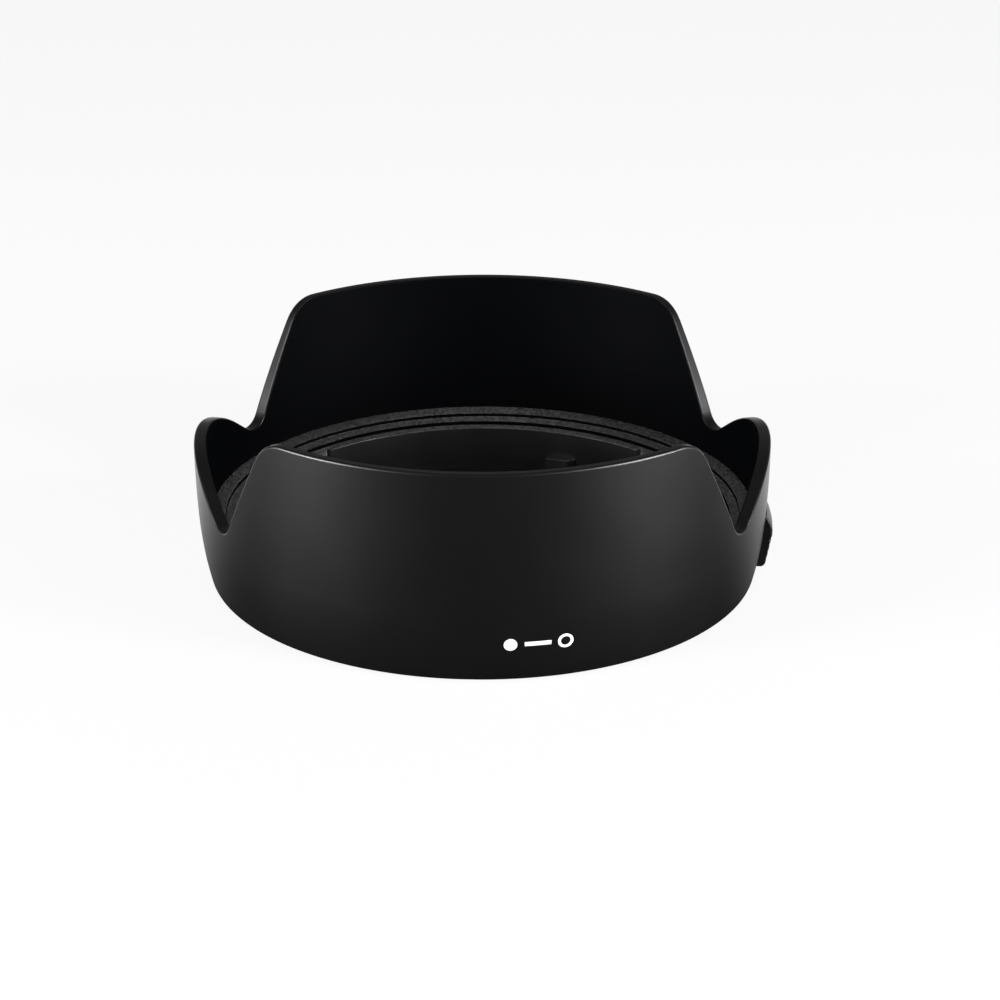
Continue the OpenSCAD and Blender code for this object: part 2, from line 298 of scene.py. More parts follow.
def round_edges(piece, width, segments=3, angle=35):
    return add_modifier(
        piece, "BEVEL", width=width, segments=segments, limit_method="ANGLE",
        angle_limit=math.radians(angle), harden_normals=True, miter_outer="MITER_ARC")


def apply_stack(piece):
    """The modifiers become the mesh."""
    bpy.context.view_layer.update()
    graph = bpy.context.evaluated_depsgraph_get()
    made = bpy.data.meshes.new_from_object(piece.evaluated_get(graph), depsgraph=graph)
    old = piece.data
    piece.modifiers.clear()
    piece.data = made
    made.name = piece.name
    bpy.data.meshes.remove(old)
    return piece


def carve(piece, cutter, operation="DIFFERENCE"):
    """Cuts or joins a helper and removes it."""
    add_modifier(piece, "BOOLEAN", object=cutter, operation=operation, solver="EXACT")
    apply_stack(piece)
    mesh = cutter.data
    bpy.data.objects.remove(cutter)
    bpy.data.meshes.remove(mesh)
    return piece


def closed_strip(rows, columns, wrap):
    """Quads between rows of points, each row a closed loop of columns points."""
    faces = []
    for i in range(rows if wrap else rows - 1):
        a, b = i * columns, (i + 1) % rows * columns
        for j in range(columns):
            k = (j + 1) % columns
            faces.append((a + j, b + j, b + k, a + k))
    return faces


def turned(name, outline, steps=256, edge_round=0.0, segments=2):
    """A closed (radius, height) outline, listed clockwise, turned about Z with a Screw."""
    count = len(outline)
    piece = new_piece(
        name, [(r, 0, z) for r, z in outline], [], [(i, (i + 1) % count) for i in range(count)])
    add_modifier(
        piece, "SCREW", axis="Z", angle=math.tau, steps=steps, render_steps=steps,
        use_merge_vertices=True, merge_threshold=1e-6, use_smooth_shade=True)
    if edge_round:
        round_edges(piece, edge_round, segments)
    return piece


def sector(name, outline, start, end, steps):
    """A closed (radius, height) outline swept about Z between two angles, with flat ends."""
    points = []
    for i in range(steps + 1):
        a = start + (end - start) * i / steps
        points += [(r * math.cos(a), r * math.sin(a), z) for r, z in outline]
    count = len(outline)
    faces = closed_strip(steps + 1, count, False)
    faces += [tuple(range(count)), tuple(reversed(range(steps * count, (steps + 1) * count)))]
    return facing_out(new_piece(name, points, faces))


def slab(name, outline, half_width, steps=12):
    """A closed (radius, height) outline carried along Y beside +X, with flat ends."""
    points = []
    for i in range(steps + 1):
        y = half_width * (2 * i / steps - 1)
        points += [(math.sqrt(r * r - y * y), y, z) for r, z in outline]
    count = len(outline)
    faces = closed_strip(steps + 1, count, False)
    faces += [tuple(range(count)), tuple(reversed(range(steps * count, (steps + 1) * count)))]
    return facing_out(new_piece(name, points, faces))


def facing_out(piece):
    """Turns the faces of a closed mesh outwards."""
    grid = bmesh.new()
    grid.from_mesh(piece.data)
    bmesh.ops.recalc_face_normals(grid, faces=grid.faces)
    grid.to_mesh(piece.data)
    grid.free()
    return piece


def join_into(piece, others):
    """Adds the meshes of others to piece and removes them."""
    grid = bmesh.new()
    grid.from_mesh(piece.data)
    for other in others:
        grid.from_mesh(other.data)
        mesh = other.data
        bpy.data.objects.remove(other)
        bpy.data.meshes.remove(mesh)
    grid.to_mesh(piece.data)
    grid.free()
    return piece


def settle(piece, body, slot_name, material, *nodes):
    """Gives a finished piece its material and its body, and hides the CAD nodes that it stands for.
    """
    if material and not piece.data.materials:
        piece.data.materials.append(material)
    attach(piece, body)
    if nodes:
        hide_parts(*nodes)
    return piece


# ---- materials


def node(tree, kind, place=(0, 0), dial=None, **values):
    """Adds a node, with its own settings as keywords and the values of its inputs in dial."""
    made = tree.nodes.new(kind)
    made.location = place
    for key, value in values.items():
        setattr(made, key, value)
    for socket, value in (dial or {}).items():
        made.inputs[socket].default_value = value
    return made


def wire(tree, *runs):
    """Links nodes: each run is a node, its output, the next node and its input."""
    for source, output, target, socket in runs:
        tree.links.new(source.outputs[output], target.inputs[socket])


def surface_group(name, values, results):
    """An empty group that takes a Vector and some values, with its inlet and outlet."""
    group = bpy.data.node_groups.new(name, "ShaderNodeTree")
    sockets = group.interface
    sockets.new_socket(name="Vector", in_out="INPUT", socket_type="NodeSocketVector")
    for value, default in values.items():
        sockets.new_socket(
            name=value, in_out="INPUT", socket_type="NodeSocketFloat").default_value = default
    for result in results:
        sockets.new_socket(name=result, in_out="OUTPUT", socket_type="NodeSocketFloat")
    return (group, node(group, "NodeGroupInput", (-700, 0)),
            node(group, "NodeGroupOutput", (500, 0)))


def grain_group():
    """Fine moulded grain: a height for Bump and a mask that varies slowly over the surface."""
    name = "moulded_grain"
    if name in bpy.data.node_groups:
        return bpy.data.node_groups[name]
    group, inlet, outlet = surface_group(
        name, {"Grain Scale": 4200.0, "Pebble Mix": 0.35}, ("Height", "Mottle"))
    fine = node(group, "ShaderNodeTexNoise", (-400, 200), dial={"Detail": 3.0, "Roughness": 0.6})
    pebble = node(
        group, "ShaderNodeTexVoronoi", (-400, -50), feature="SMOOTH_F1",
        dial={"Smoothness": 0.6})
    slow = node(group, "ShaderNodeTexNoise", (-400, -350), dial={"Scale": 140.0, "Detail": 2.0})
    blend = node(group, "ShaderNodeMix", (100, 100), data_type="FLOAT")
    for texture in (fine, pebble, slow):
        wire(group, (inlet, "Vector", texture, "Vector"))
    for texture in (fine, pebble):
        wire(group, (inlet, "Grain Scale", texture, "Scale"))
    wire(
        group,
        (inlet, "Pebble Mix", blend, "Factor"), (fine, "Fac", blend, "A"),
        (pebble, "Distance", blend, "B"), (blend, "Result", outlet, "Height"),
        (slow, "Fac", outlet, "Mottle"))
    return group


def dust_group():
    """Sparse specks of dust and lint, gathered in patches, as a mask."""
    name = "settled_dust"
    if name in bpy.data.node_groups:
        return bpy.data.node_groups[name]
    group, inlet, outlet = surface_group(
        name, {"Speck Scale": 900.0, "Amount": 0.02}, ("Mask",))
    specks = node(group, "ShaderNodeTexVoronoi", (-400, 0), feature="F1")
    patches = node(group, "ShaderNodeTexNoise", (-400, -300), dial={"Scale": 260.0})
    inside = node(group, "ShaderNodeMath", (-150, 0), operation="LESS_THAN")
    some = node(group, "ShaderNodeMath", (-150, -300), operation="GREATER_THAN", dial={1: 0.55})
    both = node(group, "ShaderNodeMath", (100, 0), operation="MULTIPLY")
    wire(
        group,
        (inlet, "Vector", specks, "Vector"), (inlet, "Vector", patches, "Vector"),
        (inlet, "Speck Scale", specks, "Scale"), (specks, "Distance", inside, 0),
        (inlet, "Amount", inside, 1), (patches, "Fac", some, 0), (inside, 0, both, 0),
        (some, 0, both, 1), (both, 0, outlet, "Mask"))
    return group


def new_material(name):
    """A new material's nodes and its shader."""
    material = bpy.data.materials.new(name)
    material.use_nodes = True
    return material.node_tree, material.node_tree.nodes["Principled BSDF"]


def grained(tree, low, high, roughness, spread, grain_scale, pebble, bump, bump_distance):
    """Grain that drives the roughness, the relief and a tone between two colours."""
    shader = tree.nodes["Principled BSDF"]
    place = node(tree, "ShaderNodeTexCoord", (-1100, 0))
    grain = node(
        tree, "ShaderNodeGroup", (-850, 100), node_tree=grain_group(),
        dial={"Grain Scale": grain_scale, "Pebble Mix": pebble})
    tone = node(
        tree, "ShaderNodeMix", (-550, 250), data_type="RGBA", dial={"A": low, "B": high})
    rough = node(
        tree, "ShaderNodeMapRange", (-550, -50),
        dial={"To Min": roughness - spread, "To Max": roughness + spread})
    relief = node(
        tree, "ShaderNodeBump", (-300, -250),
        dial={"Strength": bump, "Distance": bump_distance})
    wire(
        tree,
        (place, "Object", grain, "Vector"), (grain, "Mottle", tone, "Factor"),
        (grain, "Mottle", rough, "Value"), (rough, "Result", shader, "Roughness"),
        (grain, "Height", relief, "Height"), (relief, "Normal", shader, "Normal"))
    return tone, place, grain


def plastic(name, base, roughness, specular=0.5, grain_scale=4200.0, pebble=0.35,
            bump=0.12, bump_distance=0.00002, spread=0.06, dust=0.02, tint=1.35, painted_glint=0.0):
    """Moulded plastic: near-black base with mottle, grained roughness and bump, faint dust, and,
    where asked, painted glints, a lighter colour on the grain's high points.
    """
    tree, shader = new_material(name)
    shader.inputs["Specular IOR Level"].default_value = specular
    low = (*base, 1)
    high = (*[min(1, c * tint) for c in base], 1)
    tone, place, grain = grained(
        tree, low, high, roughness, spread, grain_scale, pebble, bump, bump_distance)
    specks = node(
        tree, "ShaderNodeGroup", (-850, -200), node_tree=dust_group(),
        dial={"Amount": dust})
    dusty = node(
        tree, "ShaderNodeMix", (-300, 250), data_type="RGBA",
        dial={"B": (0.12, 0.12, 0.12, 1)})
    wire(tree, (place, "Object", specks, "Vector"))
    # Painted glints: the grain's high points get a lighter colour that stands in for light glinting
    # off them.
    if painted_glint:
        glint_mask = node(
            tree, "ShaderNodeMapRange", (-700, 500),
            dial={"From Min": 0.25, "From Max": 0.6})
        glinted = node(
            tree, "ShaderNodeMix", (-400, 500), data_type="RGBA",
            dial={"B": (painted_glint, painted_glint, painted_glint, 1)})
        wire(
            tree,
            (grain, "Height", glint_mask, "Value"), (glint_mask, "Result", glinted, "Factor"),
            (tone, "Result", glinted, "A"), (glinted, "Result", dusty, "A"))
    else:
        wire(tree, (tone, "Result", dusty, "A"))
    wire(
        tree,
        (specks, "Mask", dusty, "Factor"), (dusty, "Result", shader, "Base Color"))
    return bpy.data.materials[name]


def steel(name, base, roughness, metallic=1.0):
    """Bare or blackened steel with drawn or ground marks."""
    tree, shader = new_material(name)
    shader.inputs["Metallic"].default_value = metallic
    worn = (*[c * 0.8 for c in base], 1)
    tone, place, grain = grained(
        tree, worn, (*base, 1), roughness, spread=0.08, grain_scale=9000.0, pebble=0.0,
        bump=0.1, bump_distance=0.00001)
    wire(tree, (tone, "Result", shader, "Base Color"))
    return bpy.data.materials[name]


def finish(name):
    """The named finish, made once."""
    if name in bpy.data.materials:
        return bpy.data.materials[name]
    f = settings().finish
    makers = {
        "satin_shell": lambda: plastic(name, f.shell, 0.36, specular=0.5, bump=0.10, spread=0.015),
        "matte_inside": lambda: plastic(
            name, f.inside, 0.6, specular=0.02, bump=0.2, pebble=0.5, dust=0.008),
        # The granular trap finish carries painted glints: the high points of its grain are coloured
        # lighter.
        "granular_trap_painted_glints": lambda: plastic(
            name, f.trap, 0.42, specular=1.0, grain_scale=2400.0, pebble=0.6,
            bump=0.9, bump_distance=0.0001, tint=2.0, dust=0.03, painted_glint=0.07),
        "smooth_ring": lambda: plastic(name, f.ring, 0.42, specular=0.6, bump=0.06),
        "satin_button": lambda: plastic(name, f.button, 0.4, specular=0.3, bump=0.08),
        "acetal_latch": lambda: plastic(name, f.latch, 0.35, specular=0.5, bump=0.04),
        "bright_steel": lambda: steel(name, f.steel, 0.28),
        "black_oxide": lambda: steel(name, f.screws, 0.4),
        "white_print": lambda: plastic(
            name, f.print_white, 0.55, specular=0.4, grain_scale=9000.0, bump=0.1,
            tint=0.9, dust=0.0),
    }
    return makers[name]()


# ---- pieces


class HOOD_OT_petal_wall(bpy.types.Operator):
    """Build the flared wall with its four petals, rounded rims and the button's aperture"""

    bl_idname = "lens_hood.petal_wall"
    bl_label = "Petal wall"

    def execute(self, context):
        w, b = settings().wall, settings().button
        outline = PetalOutline()
        low_rows = [mm * MM for mm in (0, 0.55, 1.2, 2, 3, 4.2, 5.6, 7.2, 8.8)]
        upper_shares = (0.36, 0.7, 1.0)
        base = low_rows[-1]
        angles = outline.stations()[:-1]
        points, weights = [], []
        thickest = 2 * MM
        for a in angles:
            turn = math.radians(a - 90)
            fold = min(a % 180, 180 - a % 180)
            top = outline.edge(fold * outline.per_degree)
            heights = low_rows + [base + (top - base) * share for share in upper_shares]
            for z in heights:
                r = wall_radius(z)
                points.append((r * math.cos(turn), r * math.sin(turn), z))
                weights.append((r - inner_radius(z)) / thickest)
        rows, columns = len(angles), len(low_rows) + len(upper_shares)
        faces = []
        for i in range(rows):
            here, there = i * columns, (i + 1) % rows * columns
            faces += [(here + j, there + j, there + j + 1, here + j + 1)
                      for j in range(columns - 1)]
        wall = new_piece("petal_wall", points, faces)
        wall.data.materials.append(finish("satin_shell"))
        wall.data.materials.append(finish("matte_inside"))
        group = wall.vertex_groups.new(name="thickness")
        for index, weight in enumerate(weights):
            group.add([index], weight, "REPLACE")
        add_modifier(
            wall, "SOLIDIFY", thickness=thickest, offset=-1, vertex_group="thickness",
            use_rim=True, material_offset=1, material_offset_rim=0)
        round_edges(wall, w.rim_round, segments=5, angle=50)
        apply_stack(wall)
        half = b.half_width + b.gap
        pocket_r = 35.45 * MM
        aperture = [
            (30 * MM, b.bottom - b.gap), (40 * MM, b.bottom - b.gap), (40 * MM, b.top + b.gap),
            (pocket_r, b.top + b.gap), (pocket_r, 5.1 * MM), (30 * MM, 5.1 * MM)]
        carve(wall, slab("aperture", aperture, half))
        settle(wall, "root", "shell_plastic", None, "petal_shell")
        return {"FINISHED"}


class HOOD_OT_light_trap(bpy.types.Operator):
    """Build the two upper ledges of the light trap, with the bosses for the ring screws"""

    bl_idname = "lens_hood.light_trap"
    bl_label = "Light trap"

    def execute(self, context):
        r = settings().ring
        edge, low, high = ledge_steps()
        under = r.shelf_under
        into_wall = 0.25 * MM
        outline = [
            (edge[3] + into_wall, high[2]), (edge[3] + into_wall, under),
            (edge[1] + 0.05 * MM, under), (edge[1] + 0.05 * MM, low[1]),
            (edge[2], high[1]), (edge[2], low[2]), (edge[3], high[2])]
        trap = turned("light_trap", outline, edge_round=0.1 * MM)
        trap.data.materials.append(finish("matte_inside"))
        trap.data.materials.append(finish("granular_trap_painted_glints"))
        apply_stack(trap)
        # Painted light: the faces that look up take the granular finish with its painted glints,
        # while the risers and undersides stay dark.
        paint_lit_upper_faces(trap, low[1] - 0.1 * MM)
        settle(trap, "root", "shell_plastic", None, "petal_shell")
        bosses = []
        bottom = r.flange_thickness + 0.05 * MM
        hole, outer = 0.46 * MM, 0.95 * MM
        top = under + 0.1 * MM
        tube = [(outer, top), (outer, bottom), (hole, bottom), (hole, top)]
        for angle in four_mirrored(r.screw_angle):
            boss = turned("boss", tube, steps=32)
            apply_stack(boss)
            place = Vector((r.screw_circle * math.cos(angle), r.screw_circle * math.sin(angle), 0))
            boss.data.transform(Matrix.Translation(place))
            bosses.append(boss)
        bosses = join_into(bosses[0], bosses[1:])
        bosses.name = "screw_bosses"
        settle(bosses, "root", "shell_plastic", finish("matte_inside"), "petal_shell")
        return {"FINISHED"}


def paint_lit_upper_faces(piece, from_height):
    """The second material goes on the faces that look up, from a height upwards. This is painted
    light: these faces take the granular finish with its painted glints and the rest stay darker, as
    if lit from above.
    """
    for face in piece.data.polygons:
        up = face.normal.z > 0.6 and face.center.z > from_height
        face.material_index = 1 if up else 0


def four_mirrored(angle):
    """The four angles that mirror one in X and Y."""
    return angle, math.pi - angle, math.pi + angle, -angle


class HOOD_OT_mount_ring(bpy.types.Operator):
    """Build the mount ring with the third ledge, the seat, entry slots and bayonet lugs"""

    bl_idname = "lens_hood.mount_ring"
    bl_label = "Mount ring"

    def execute(self, context):
        r = settings().ring
        edge, low, high = ledge_steps()
        lip_under, web_under = 4.9 * MM, 4.6 * MM
        outline = [
            (edge[1], high[0]), (edge[1], lip_under),
            (r.wall_radius, web_under), (r.wall_radius, r.flange_thickness),
            (r.flange_radius, r.flange_thickness), (r.flange_radius, 0),
            (r.relief_radius, 0), (r.relief_radius, r.relief_height),
            (r.seat_radius, r.seat_bottom), (r.seat_radius, r.trap_height)]
        ring = turned("mount_ring_body", outline, edge_round=0.08 * MM)
        ring.data.materials.append(finish("smooth_ring"))
        ring.data.materials.append(finish("granular_trap_painted_glints"))
        apply_stack(ring)
        for angle in four_mirrored(r.slot_angle):
            half = r.slot_width / 2
            slot = sector("slot", [
                (r.seat_radius - MM, -MM), (r.seat_radius + r.slot_depth, -MM),
                (r.seat_radius + r.slot_depth, r.trap_height + MM),
                (r.seat_radius - MM, r.trap_height + MM)], angle - half, angle + half, 12)
            carve(ring, slot)
        tooth_half, window_top = math.radians(3.3), 2.5 * MM
        window = sector("window", [
            (r.seat_radius - MM, r.flange_thickness), (r.wall_radius + MM, r.flange_thickness),
            (r.wall_radius + MM, window_top), (r.seat_radius - MM, window_top)],
            r.tooth_angle - tooth_half, r.tooth_angle + tooth_half, 6)
        carve(ring, window)
        head, shank, depth = 0.85 * MM, 0.53 * MM, 0.55 * MM
        for angle in four_mirrored(r.screw_angle):
            place = Matrix.Translation(
                (r.screw_circle * math.cos(angle), r.screw_circle * math.sin(angle), 0))
            sink = turned("sink", [
                (head, depth), (head, -MM), (0.0, -MM), (0.0, 3 * MM),
                (shank, 3 * MM), (shank, depth)], steps=32)
            apply_stack(sink)
            facing_out(sink)
            sink.data.transform(place)
            carve(ring, sink)
        # Painted light: the third ledge's top takes the granular finish with its painted glints, so
        # it reads lit from above.
        paint_lit_upper_faces(ring, low[0] - 0.02 * MM)
        settle(ring, "root", "ring_plastic", None, "mount_ring")
        half = r.lug_width / 2
        lead = math.radians(2.2)
        lugs = []
        for i in range(4):
            angle = r.lug_angle + i * math.pi / 2
            lugs.append(bayonet_lug(angle - half, angle + half, lead))
        lugs = join_into(lugs[0], lugs[1:])
        lugs.name = "bayonet_lugs"
        round_edges(lugs, 0.09 * MM, segments=2)
        settle(lugs, "root", "ring_plastic", finish("smooth_ring"), "mount_ring")
        return {"FINISHED"}


def bayonet_lug(start, end, lead):
    """One lug, whose leading end slopes so that it finds the lens's channel."""
    r = settings().ring
    steps = 8
    outer = r.relief_radius + 0.2 * MM
    points = []
    for i in range(steps + 1):
        share = i / steps
        a_out = start + (end - start) * share
        a_in = start + lead + (end - start - lead) * share
        for radius, angle in ((outer, a_out), (r.lug_radius, a_in)):
            for z in (r.lug_bottom, r.lug_bottom + r.lug_height):
                points.append((radius * math.cos(angle), radius * math.sin(angle), z))
    ring_order = (0, 1, 3, 2)
    faces = []
    for i in range(steps):
        for j in range(4):
            a, b = ring_order[j], ring_order[(j + 1) % 4]
            faces.append((4 * i + a, 4 * i + 4 + a, 4 * i + 4 + b, 4 * i + b))
    faces += [tuple(ring_order), tuple(4 * steps + k for k in reversed(ring_order))]
    return facing_out(new_piece("lug", points, faces))


class HOOD_OT_release_button(bpy.types.Operator):
    """Build the release button with its lip, grip grooves and spring pocket"""

    bl_idname = "lens_hood.release_button"
    bl_label = "Release button"

    def execute(self, context):
        b = settings().button
        face = [(b.bottom, 0.65), (1.25 * MM, 0.88), (1.55 * MM, 1), (3 * MM, 1), (4.4 * MM, 1.02),
                (5.6 * MM, 1.09), (6.4 * MM, 0.96), (7 * MM, 0.76), (b.top, 0.1)]
        shank_top = 5.0 * MM
        pad_back = 36.33 * MM
        shank_back = 33.75 * MM
        outline = [(shank_back, b.bottom)]
        outline += [(wall_radius(z) + share * b.proud, z) for z, share in face]
        outline += [(pad_back, b.top), (pad_back, shank_top), (shank_back, shank_top)]
        pad = slab("finger_button", outline, b.half_width)
        round_edges(pad, b.edge_round, segments=3, angle=40)
        apply_stack(pad)
        lip = slab("lip", [
            (33.3 * MM, b.bottom + 0.1 * MM), (33.9 * MM, b.bottom + 0.1 * MM),
            (33.9 * MM, 4.95 * MM), (33.3 * MM, 4.95 * MM)], b.half_width + 0.9 * MM)
        carve(pad, lip, "UNION")
        pocket, depth, spring_height = 1.1 * MM, 6 * MM, 3.05 * MM
        hole = turned("hole", [(pocket, depth), (pocket, 0), (0, 0), (0, depth)], steps=32)
        apply_stack(hole)
        facing_out(hole)
        hole.data.transform(Matrix.Translation((30 * MM, 0, spring_height))
                            @ Matrix.Rotation(math.pi / 2, 4, "Y"))
        carve(pad, hole)
        first_groove, groove_pitch, groove_radius = 2.25 * MM, 0.95 * MM, 0.2 * MM
        for i in range(5):
            z = first_groove + i * groove_pitch
            groove = groove_cutter(z, groove_radius, b.half_width + MM)
            carve(pad, groove)
        settle(pad, "button", "button_plastic", finish("satin_button"), "release_button")
        return {"FINISHED"}


def groove_cutter(z, radius, half_width):
    """A rod that follows the button's face, for one grip groove."""
    face_r = wall_radius(z) + settings().button.proud
    count = 10
    ring = [(face_r + radius * 0.35 + radius * math.cos(math.tau * k / count),
             z + radius * math.sin(math.tau * k / count)) for k in range(count)]
    return slab("groove", ring, half_width)


class HOOD_OT_latch(bpy.types.Operator):
    """Finish the latch lever and its pin, and build the two springs"""

    bl_idname = "lens_hood.latch"
    bl_label = "Latch"

    def execute(self, context):
        for name, surface in (("latch_lever", "acetal_latch"), ("lever_pivot_pin", "bright_steel")):
            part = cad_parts[name]
            if not part.material_slots:
                part.data.materials.append(None)
            for material_slot in part.material_slots:
                material_slot.link = "OBJECT"
                material_slot.material = finish(surface)
        self.coil()
        self.strip()
        return {"FINISHED"}

    def coil(self):
        """A round wire coil along X, with closed ends."""
        wire = 0.11 * MM
        turns, closed_turns = 7.0, 1.0
        low, high = COIL_LOW.x + wire, COIL_HIGH.x - wire
        radius = (COIL_HIGH.z - COIL_LOW.z) / 2 - wire
        middle_z = (COIL_HIGH.z + COIL_LOW.z) / 2
        per_turn = 16
        count = int(turns * per_turn)
        curve = bpy.data.curves.new("button_coil", "CURVE")
        curve.dimensions = "3D"
        curve.bevel_depth = wire
        curve.bevel_resolution = 2
        curve.use_fill_caps = True
        line = curve.splines.new("POLY")
        line.points.add(count)
        end_share = closed_turns * 2 * wire / (high - low)
        for i in range(count + 1):
            turn = turns * i / count
            if turn < closed_turns:
                along = end_share * turn / closed_turns
            elif turn > turns - closed_turns:
                along = 1 - end_share * (turns - turn) / closed_turns
            else:
                middle = (turn - closed_turns) / (turns - 2 * closed_turns)
                along = end_share + (1 - 2 * end_share) * middle
            a = math.tau * turn
            line.points[i].co = (low + (high - low) * along, radius * math.cos(a),
                                 middle_z + radius * math.sin(a), 1)
        helper = bpy.data.objects.new("button_coil_curve", curve)
        bpy.context.scene.collection.objects.link(helper)
        bpy.context.view_layer.update()
        graph = bpy.context.evaluated_depsgraph_get()
        mesh = bpy.data.meshes.new_from_object(helper.evaluated_get(graph), depsgraph=graph)
        bpy.data.objects.remove(helper)
        coil = bpy.data.objects.new("button_coil", mesh)
        bpy.context.scene.collection.objects.link(coil)
        mesh.shade_smooth()
        settle(coil, "root", "spring_steel", finish("bright_steel"), "button_spring")
        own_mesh(coil)

    def strip(self):
        """A bent flat spring between the skin and the lever."""
        bends = [(34.42, 20.4), (34.42, 21.6), (33.62, 25.2), (33.66, 26.0)]
        thickness = 0.12
        points, faces = [], []
        for z in (STRIP_LOW.z, STRIP_HIGH.z):
            for back in (0, thickness):
                for r, a in bends:
                    turn = math.radians(a)
                    radius = (r - back) * MM
                    points.append((radius * math.cos(turn), radius * math.sin(turn), z))
        count = len(bends)
        for i in range(count - 1):
            a, b, c, d = i, count + i, 2 * count + i, 3 * count + i
            faces += [(a, a + 1, b + 1, b), (c, d, d + 1, c + 1),
                      (a, c, c + 1, a + 1), (b, b + 1, d + 1, d)]
        faces += [(0, count, 3 * count, 2 * count),
                  (count - 1, 3 * count - 1, 4 * count - 1, 2 * count - 1)]
        strip = facing_out(new_piece("lever_strip", points, faces))
        round_edges(strip, 0.02 * MM, segments=1)
        apply_stack(strip)
        settle(strip, "root", "spring_steel", finish("bright_steel"), "lever_spring")
        turn = math.radians(24.5)
        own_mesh(strip)


class HOOD_OT_ring_screws(bpy.types.Operator):
    """Build the four cross-recessed screws that hold the mount ring"""

    bl_idname = "lens_hood.ring_screws"
    bl_label = "Ring screws"

    def execute(self, context):
        r = settings().ring
        low, high = SCREWS_LOW.z, SCREWS_HIGH.z
        head_r, thread_r, head_h = 0.8 * MM, 0.43 * MM, 0.45 * MM
        pitch = 0.25 * MM
        outline = [(0, high), (thread_r * 0.6, high - 0.02 * MM)]
        z = high - 0.15 * MM
        while z > low + head_h + 0.3 * MM:
            outline += [(thread_r, z), (thread_r - 0.07 * MM, z - pitch / 2)]
            z -= pitch
        outline += [(thread_r, low + head_h), (head_r, low + head_h), (head_r, low + 0.12 * MM),
                    (head_r * 0.86, low + 0.02 * MM), (0, low)]
        screws = []
        for angle in four_mirrored(r.screw_angle):
            screw = new_piece("screw", [(x, 0, z) for x, z in outline], [],
                              [(i, i + 1) for i in range(len(outline) - 1)])
            add_modifier(screw, "SCREW", axis="Z", angle=math.tau, steps=32, render_steps=32,
                         use_merge_vertices=True, merge_threshold=1e-6, use_smooth_shade=True)
            apply_stack(screw)
            facing_out(screw)
            for turn in (0, math.pi / 2):
                bar = box_piece("bar", (1.1 * MM, 0.2 * MM, 0.5 * MM))
                bar.data.transform(Matrix.Translation((0, 0, low)) @ Matrix.Rotation(turn, 4, "Z"))
                carve(screw, bar)
            place = (r.screw_circle * math.cos(angle), r.screw_circle * math.sin(angle), 0)
            screw.data.transform(Matrix.Translation(place) @ Matrix.Rotation(angle * 1.7, 4, "Z"))
            screws.append(screw)
        screws = join_into(screws[0], screws[1:])
        screws.name = "flange_screws"
        settle(screws, "root", "screw_steel", finish("black_oxide"), "ring_screws")
        return {"FINISHED"}


def box_piece(name, size):
    """A box centred on the origin, for a cutter."""
    x, y, z = (v / 2 for v in size)
    corners = [(i * x, j * y, k * z) for i in (-1, 1) for j in (-1, 1) for k in (-1, 1)]
    faces = [(0, 1, 3, 2), (4, 6, 7, 5), (0, 4, 5, 1), (2, 3, 7, 6), (0, 2, 6, 4), (1, 5, 7, 3)]
    return facing_out(new_piece(name, corners, faces))


class HOOD_OT_index_marks(bpy.types.Operator):
    """Print the three plain alignment marks: a dot, a bar and a ring"""

    bl_idname = "lens_hood.index_marks"
    bl_label = "Index marks"

    def execute(self, context):
        middle = (MARKS_LOW.z + MARKS_HIGH.z) / 2
        marks = [
            self.disc(5.5, middle, 0.0, 0.8 * MM),
            self.bar(10.7, middle, 1.6 * MM, 0.28 * MM),
            self.disc(16.0, middle, 0.6 * MM, 0.95 * MM)]
        marks = join_into(marks[0], marks[1:])
        marks.name = "printed_marks"
        add_modifier(marks, "SOLIDIFY", thickness=0.03 * MM, offset=1)
        settle(marks, "root", "white_print", finish("white_print"), "index_marks")
        return {"FINISHED"}

    def on_wall(self, angle, across, z):
        """A point just on the wall, across along it from an angle measured from -Y."""
        r = wall_radius(z) + 0.012 * MM
        turn = math.radians(angle - 90) + across / r
        return r * math.cos(turn), r * math.sin(turn), z

    def disc(self, angle, z, inner, outer):
        count = 40
        radii = [inner or 0.25 * outer, (inner + outer) / 2 if inner else 0.62 * outer, outer]
        points = [self.on_wall(angle, r * math.cos(math.tau * k / count),
                               z + r * math.sin(math.tau * k / count))
                  for r in radii for k in range(count)]
        faces = []
        for i in range(len(radii) - 1):
            for k in range(count):
                n = (k + 1) % count
                faces.append((i * count + k, (i + 1) * count + k,
                              (i + 1) * count + n, i * count + n))
        if not inner:
            faces.append(tuple(range(count)))
        return new_piece("mark", points, faces)

    def bar(self, angle, z, half_length, half_height):
        columns = 13
        points = []
        for row in (-half_height, half_height):
            for k in range(columns):
                points.append(self.on_wall(
                    angle, half_length * (2 * k / (columns - 1) - 1), z + row))
        faces = [(k, k + 1, columns + k + 1, columns + k) for k in range(columns - 1)]
        return new_piece("mark", points, faces)


